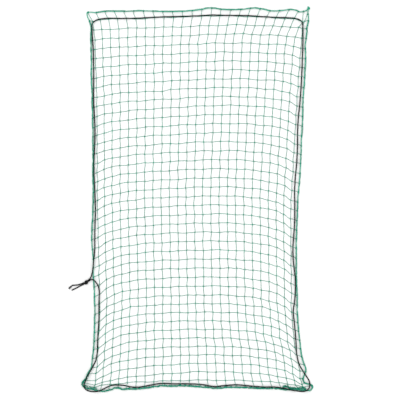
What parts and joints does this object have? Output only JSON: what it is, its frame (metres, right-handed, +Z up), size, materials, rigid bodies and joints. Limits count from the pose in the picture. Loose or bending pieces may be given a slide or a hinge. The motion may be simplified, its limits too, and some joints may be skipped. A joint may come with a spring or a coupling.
{
  "type": "cargo net",
  "caption": "Knotted square-mesh net with a rope border and a black elastic edge cord tied in a knot with two tails.",
  "frame": {"origin": "centre of the net's outline, on the surface that it lies on", "axes": "+X across the net, +Y along its length towards the edge with the wide open meshes, +Z up out of the net"},
  "size_m": [1.3493, 2.1282, 0.0135],
  "materials": {
    "net_twine": "twisted polypropylene twine, dark green",
    "border_rope": "twisted polypropylene rope, green",
    "elastic_cord": "braided cover over rubber, black",
    "end_sleeve": "matte black plastic"
  },
  "bodies": {
    "net_upper": {"netting_upper": "net_twine", "border_left_upper": "border_rope", "border_right_upper": "border_rope", "elastic_left_upper": "elastic_cord", "elastic_right_upper": "elastic_cord"},
    "net_top": {"netting_top": "net_twine", "border_top": "border_rope", "border_left_top": "border_rope", "border_right_top": "border_rope", "border_knot": "border_rope", "elastic_top": "elastic_cord", "elastic_left_top": "elastic_cord", "elastic_right_top": "elastic_cord"},
    "net_lower": {"netting_lower": "net_twine", "border_left_lower": "border_rope", "border_right_lower": "border_rope", "elastic_left_lower": "elastic_cord", "elastic_return_lower": "elastic_cord", "elastic_right_lower": "elastic_cord", "elastic_leg_upper": "elastic_cord", "elastic_leg_lower": "elastic_cord"},
    "net_bottom": {"netting_bottom": "net_twine", "border_bottom": "border_rope", "border_left_bottom": "border_rope", "border_right_bottom": "border_rope", "elastic_bottom": "elastic_cord", "elastic_left_bottom": "elastic_cord", "elastic_right_bottom": "elastic_cord"},
    "elastic_ends": {"elastic_knot": "elastic_cord", "elastic_tail_upper": "elastic_cord", "elastic_tail_lower": "elastic_cord", "elastic_end_sleeve": "end_sleeve"}
  },
  "joints": [
    {"name": "fold_top", "type": "hinge", "parent": "net_upper", "child": "net_top", "pos_m": [0, 0.6, 0.0125], "axis": [1, 0, 0], "range_deg": [0, 179]},
    {"name": "fold_middle", "type": "hinge", "parent": "net_upper", "child": "net_lower", "pos_m": [0, 0, 0.03], "axis": [-1, 0, 0], "range_deg": [0, 176]},
    {"name": "fold_bottom", "type": "hinge", "parent": "net_lower", "child": "net_bottom", "pos_m": [0, -0.6, 0.0125], "axis": [-1, 0, 0], "range_deg": [0, 179]},
    {"name": "elastic_pull", "type": "slide", "parent": "net_lower", "child": "elastic_ends", "axis": [-1, 0, 0], "range_m": [0, 0.08], "stiffness_N_per_m": 120, "deforming": ["elastic_leg_upper", "elastic_leg_lower"]}
  ]
}
